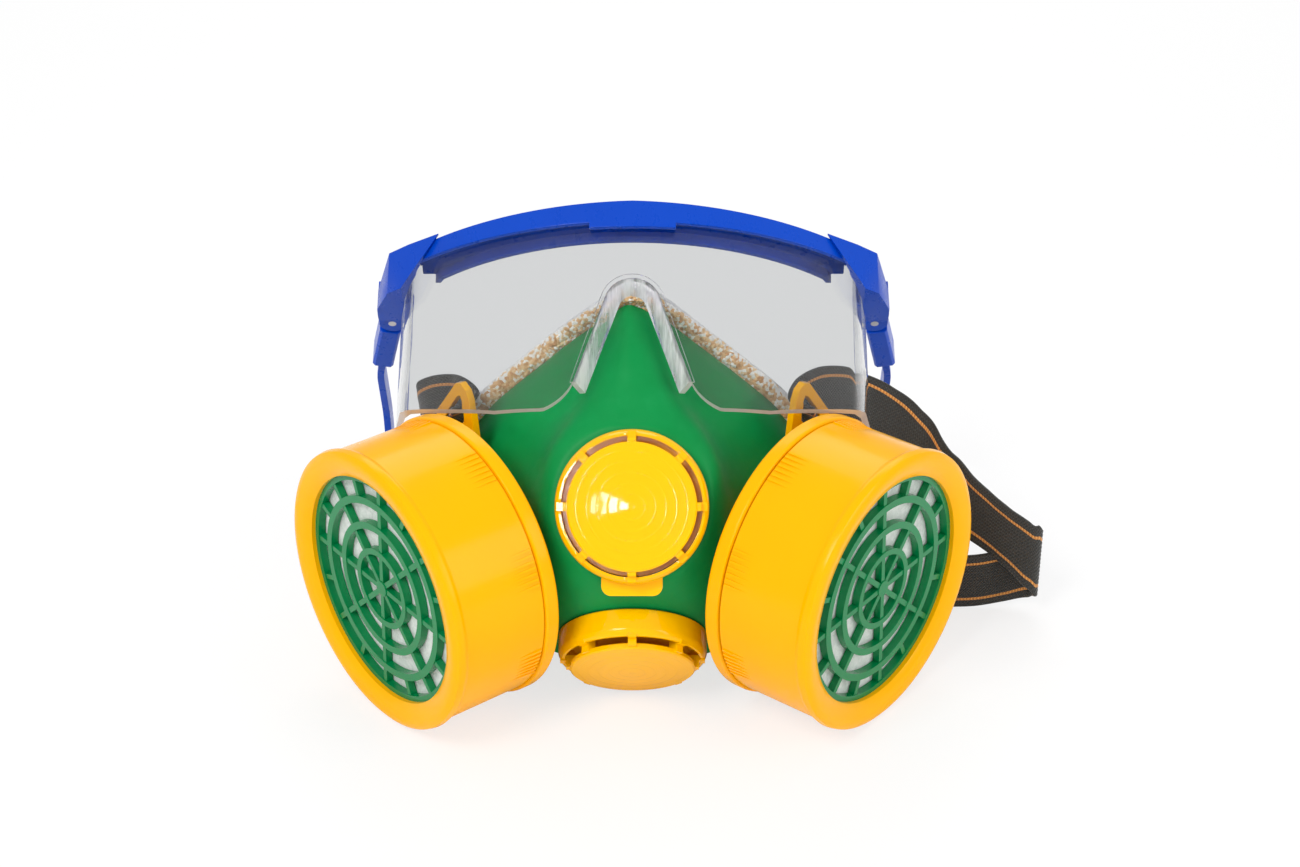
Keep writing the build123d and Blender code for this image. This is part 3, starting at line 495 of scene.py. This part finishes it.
# The roll's free lip swells outward behind the rubber's edge, more at its sides and top.
lip = np.clip(behind / LIP_RISE, 0.0, 1.0) * np.interp(co[:, 2], LIP_HEIGHT, (0, 1))
outward = co * (1, 0, 1) - (0, 0, ROLL_MIDDLE)
outward /= np.linalg.norm(outward, axis=1)[:, None]
co += outward * (lip * LIP_SWELL)[:, None]
roll.data.vertices.foreach_set("co", co.ravel())
roll.data.update()
attribute(roll, "pale", np.clip(behind / 2.0 - 0.7, -0.08, 0.8))
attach(roll, "mask")
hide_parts("face_seal_liner")


# ---- head strap ----

def smooth_route(route, step):
    """Points and width directions sampled evenly along a smooth curve through the stations."""
    pts = np.array([p for p, _ in route])
    wid = np.array([w.normalized() for _, w in route])
    ends = np.vstack([2 * pts[0] - pts[1], pts, 2 * pts[-1] - pts[-2]])
    wends = np.vstack([wid[0], wid, wid[-1]])
    out, wout = [], []
    for i in range(1, len(ends) - 2):
        p0, p1, p2, p3 = ends[i - 1:i + 3]
        t = np.cumsum([0] + [max(np.linalg.norm(b - a), 1e-6) ** 0.5
                             for a, b in ((p0, p1), (p1, p2), (p2, p3))])
        for u in np.linspace(t[1], t[2], 24, endpoint=False):
            a1 = (t[1] - u) / (t[1] - t[0]) * p0 + (u - t[0]) / (t[1] - t[0]) * p1
            a2 = (t[2] - u) / (t[2] - t[1]) * p1 + (u - t[1]) / (t[2] - t[1]) * p2
            a3 = (t[3] - u) / (t[3] - t[2]) * p2 + (u - t[2]) / (t[3] - t[2]) * p3
            b1 = (t[2] - u) / (t[2] - t[0]) * a1 + (u - t[0]) / (t[2] - t[0]) * a2
            b2 = (t[3] - u) / (t[3] - t[1]) * a2 + (u - t[1]) / (t[3] - t[1]) * a3
            out.append((t[2] - u) / (t[2] - t[1]) * b1 + (u - t[1]) / (t[2] - t[1]) * b2)
            s = (u - t[1]) / (t[2] - t[1])
            s = s * s * (3 - 2 * s)
            wout.append(wends[i] * (1 - s) + wends[i + 1] * s)
    out.append(pts[-1])
    wout.append(wid[-1])
    out, wout = np.array(out), np.array(wout)
    length = np.concatenate([[0], np.cumsum(np.linalg.norm(np.diff(out, axis=0), axis=1))])
    at = np.linspace(0, length[-1], int(length[-1] / step) + 1)
    line = np.stack([np.interp(at, length, out[:, k]) for k in range(3)], 1)
    width = np.stack([np.interp(at, length, wout[:, k]) for k in range(3)], 1)
    return at, line, width


def web_mesh(name, route, width, thickness):
    """Webbing with ribs along it, a rounded selvedge, and its length and width as attributes."""
    at, line, across = smooth_route(route, STRAP_STEP)
    tangent = np.gradient(line, axis=0)
    tangent /= np.linalg.norm(tangent, axis=1)[:, None]
    across /= np.linalg.norm(across, axis=1)[:, None]
    skew = np.sqrt(1 - (across * tangent).sum(1) ** 2)[:, None]
    normal = np.cross(tangent, across) / skew
    across /= skew
    half = width / 2
    profile = []
    flat = np.linspace(-1, 1, STRAP_RIBS * 4 + 1)
    crown = np.abs(np.cos(flat * STRAP_RIBS * math.pi / 2)) ** 0.6
    for u, c in zip(flat, crown):
        edge = min(1.0, (1.02 - abs(u)) / 0.05) ** 0.5
        profile.append((u * half, thickness / 2 * edge * (0.80 + 0.20 * c)))
    ring = profile + [(x, -y) for x, y in reversed(profile)]
    ring = np.array(ring)
    count = len(ring)
    verts = (line[:, None, :] + across[:, None, :] * ring[None, :, :1]
             + normal[:, None, :] * ring[None, :, 1:])
    rows = len(line)
    faces = [(r * count + k, r * count + (k + 1) % count, (r + 1) * count + (k + 1) % count,
              (r + 1) * count + k) for r in range(rows - 1) for k in range(count)]
    faces.append(list(range(count))[::-1])
    faces.append([(rows - 1) * count + k for k in range(count)])
    obj = piece(name, verts.reshape(-1, 3), faces, WEB)
    attribute(obj, "along", np.repeat(at, count))
    attribute(obj, "across", np.tile(ring[:, 0], rows))
    return obj, at[-1]


strap, strap_length = web_mesh("strap_web", STRAP_ROUTE, STRAP_WIDTH, STRAP_THICKNESS)
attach(strap, "mask")
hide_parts("head_strap")


# ---- filter pads ----

for side in ("right", "left"):
    pad = remeshed("pad_" + side, "filter_pad_" + side, 0.7, 2, FELT)
    roughened(pad, "CLOUDS", 1.6, 0.25)
    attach(pad, "cartridge_" + side)
    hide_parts("filter_pad_" + side)

# ---- floor and light ----

ground = Nodes("floor_white")
speck = ground.noise(8, 2)
ground.set(Base_Color=ground.mix(speck, (0.94, 0.94, 0.94), (0.96, 0.96, 0.96)), Roughness=0.7)
glow = ground.add("ShaderNodeEmission", {"Color": (1, 1, 1, 1), "Strength": 1.0})
path = ground.add("ShaderNodeLightPath")
seen = ground.math("MAXIMUM", path.outputs["Is Camera Ray"], path.outputs["Is Transmission Ray"])
share = ground.math("MULTIPLY", seen, FLOOR_GLOW)
both = ground.add("ShaderNodeMixShader", {0: share, 1: ground.shader.outputs[0],
                                          2: glow.outputs[0]})
ground.tree.links.new(both.outputs[0], ground.output.inputs["Surface"])
corners = [(x * FLOOR_HALF, y * FLOOR_HALF, 0) for x, y in ((-1, -1), (1, -1), (1, 1), (-1, 1))]
floor = piece("floor", corners, [(0, 1, 2, 3)], ground.material)

world = bpy.data.worlds.new("studio")
scene.world = world
world.use_nodes = True
tree = world.node_tree
back = tree.nodes["Background"]
back.inputs["Color"].default_value = (1, 1, 1, 1)
back.inputs["Strength"].default_value = WORLD_LIGHT
white = tree.nodes.new("ShaderNodeBackground")
white.inputs["Color"].default_value = (1, 1, 1, 1)
white.inputs["Strength"].default_value = 1.0
rays = tree.nodes.new("ShaderNodeLightPath")
most = tree.nodes.new("ShaderNodeMath")
most.operation = "MAXIMUM"
tree.links.new(rays.outputs["Is Camera Ray"], most.inputs[0])
tree.links.new(rays.outputs["Is Transmission Ray"], most.inputs[1])
choose = tree.nodes.new("ShaderNodeMixShader")
tree.links.new(most.outputs[0], choose.inputs[0])
tree.links.new(back.outputs[0], choose.inputs[1])
tree.links.new(white.outputs[0], choose.inputs[2])
tree.links.new(choose.outputs[0], tree.nodes["World Output"].inputs["Surface"])


def lamp(name, place, target, size, power):
    data = bpy.data.lights.new(name, "AREA")
    data.shape = "RECTANGLE"
    data.size, data.size_y = size
    data.energy = power
    obj = bpy.data.objects.new(name, data)
    obj.location = place
    aim = Vector(target) - Vector(place)
    obj.rotation_euler = aim.to_track_quat("-Z", "Y").to_euler()
    scene.collection.objects.link(obj)
    return obj


lamp("key", (-0.45, -0.65, 0.95), (0, 0, 0.06), (0.40, 0.40), 6.5)
lamp("fill", (0.95, -0.45, 0.55), (0, 0, 0.06), (0.60, 0.60), 3.5)
lamp("top", (0.0, 1.05, 0.95), (0, 0, 0.06), (0.90, 0.60), 4.5)
# A window beside the camera, as three narrow panes and a wide one: place across, and width.
# Its reflection is the highlight on the front cover, at which it aims.
PANES = ((-0.102, 0.005), (-0.090, 0.005), (-0.077, 0.008), (-0.044, 0.044))
PANE_HEIGHT = 0.042
PANE_POWER = 6.0            # watts for each metre of width
for i, (place, wide) in enumerate(PANES):
    lamp("pane_%d" % i, (place, -0.6825, 0.439), (0, -0.029, 0.081), (wide, PANE_HEIGHT),
         PANE_POWER * wide)
